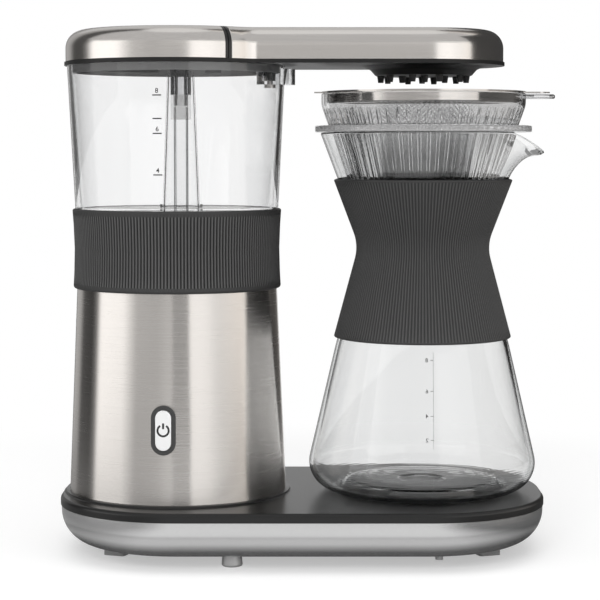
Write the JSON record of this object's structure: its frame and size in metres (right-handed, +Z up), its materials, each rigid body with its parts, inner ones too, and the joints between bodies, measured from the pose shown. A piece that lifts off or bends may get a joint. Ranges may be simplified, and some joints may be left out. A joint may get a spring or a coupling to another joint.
{
  "type": "pour-over coffee maker",
  "caption": "Drip coffee maker with a steel tower, clear water tank, overhead shower arm and an hourglass glass carafe that carries a clear dripper with a mesh filter.",
  "frame": {"origin": "on the table, under the middle of the part's outline", "axes": "+Z up, the front with the button faces -Y, the tower is towards -X and the carafe towards +X"},
  "size_m": [0.3308, 0.1872, 0.3484],
  "materials": {
    "silver_shell": "satin metallic paint",
    "black_deck": "satin moulded black",
    "dark_plastic": "matte moulded dark grey",
    "screw_steel": "plain zinc-plated",
    "clear_foot": "frosted translucent",
    "plate_coating": "dark non-stick coating",
    "silicone_grey": "matte ribbed silicone",
    "seal_rubber": "matte",
    "heater_alloy": "cast and extruded",
    "ceramic": "glazed, off-white",
    "brushed_steel": "satin, brushed crosswise",
    "clear_plastic": "clear, polished",
    "floor_steel": "pressed, satin",
    "hose_silicone": "translucent silicone",
    "fitting_plastic": "moulded",
    "board_green": "solder resist",
    "bezel_grey": "satin moulded",
    "button_grey": "satin moulded light grey",
    "nozzle_silicone": "matte",
    "carafe_glass": "clear, polished",
    "dripper_clear": "clear, polished, ribbed",
    "filter_steel": "polished",
    "filter_mesh": "fine woven and perforated mesh"
  },
  "bodies": {
    "base": {"base_shell": "silver_shell", "base_deck": "black_deck", "tower_plinth": "black_deck", "arm_trim": "black_deck", "bottom_plate": "dark_plastic", "tower_chassis": "dark_plastic", "tower_collar": "dark_plastic", "cord_gland": "dark_plastic", "top_housing": "dark_plastic", "shower_dish": "dark_plastic", "shower_cap": "dark_plastic", "power_switch": "dark_plastic", "board_parts": "dark_plastic", "heater_thermostats": "dark_plastic", "base_screws": "screw_steel", "strap_screws": "screw_steel", "peg_screw": "screw_steel", "hose_clips": "screw_steel", "plate_strap": "screw_steel", "pad_feet": "clear_foot", "round_feet": "clear_foot", "warming_plate": "plate_coating", "tower_sleeve": "silicone_grey", "plate_seal": "seal_rubber", "floor_gasket": "seal_rubber", "plate_heater": "heater_alloy", "heater": "heater_alloy", "plate_thermostat": "ceramic", "heater_standoffs": "ceramic", "tower_jacket": "brushed_steel", "arm_cover": "brushed_steel", "tank": "clear_plastic", "riser_tube": "clear_plastic", "riser_shroud": "clear_plastic", "tank_floor": "floor_steel", "riser_coupling": "hose_silicone", "inlet_hose": "hose_silicone", "outlet_hose": "hose_silicone", "arm_tube": "hose_silicone", "riser_fitting": "fitting_plastic", "arm_peg": "fitting_plastic", "inlet_valve": "fitting_plastic", "control_board": "board_green", "button_bezel": "bezel_grey", "shower_nozzles": "nozzle_silicone"},
    "button": {"power_button": "button_grey"},
    "plunger": {"switch_plunger": "dark_plastic"},
    "lid": {"lid_cap": "brushed_steel", "lid_trim": "black_deck", "lid_liner": "dark_plastic"},
    "carafe": {"carafe_glass": "carafe_glass", "carafe_sleeve": "silicone_grey"},
    "dripper": {"dripper": "dripper_clear"},
    "filter": {"filter_rim": "filter_steel", "filter_mesh": "filter_mesh"},
    "ball": {"valve_ball": "screw_steel"}
  },
  "joints": [
    {"name": "button_press", "type": "slide", "parent": "base", "child": "button", "axis": [0.0697, 0.9967, -0.0427], "range_m": [0, 0.0015], "stiffness_N_per_m": 800},
    {"name": "plunger_press", "type": "slide", "parent": "base", "child": "plunger", "axis": [0.0697, 0.9967, -0.0427], "range_m": [0, 0.0015]},
    {"name": "lid_lift", "type": "slide", "parent": "base", "child": "lid", "axis": [0, 0, 1], "range_m": [0, 0.06]},
    {"name": "carafe_slide", "type": "slide", "parent": "base", "child": "carafe", "axis": [0, -1, 0], "range_m": [0, 0.24]},
    {"name": "dripper_turn", "type": "hinge", "parent": "carafe", "child": "dripper", "pos_m": [0.07713, 0, 0.281], "axis": [0, 0, 1], "continuous": true},
    {"name": "filter_lift", "type": "slide", "parent": "dripper", "child": "filter", "axis": [0, 0, 1], "range_m": [0, 0.004]},
    {"name": "ball_lift", "type": "slide", "parent": "base", "child": "ball", "axis": [0, 0, 1], "range_m": [0, 0.002]}
  ],
  "couplings": [
    {"joint": "plunger_press", "follows": "button_press", "ratio": 1}
  ]
}
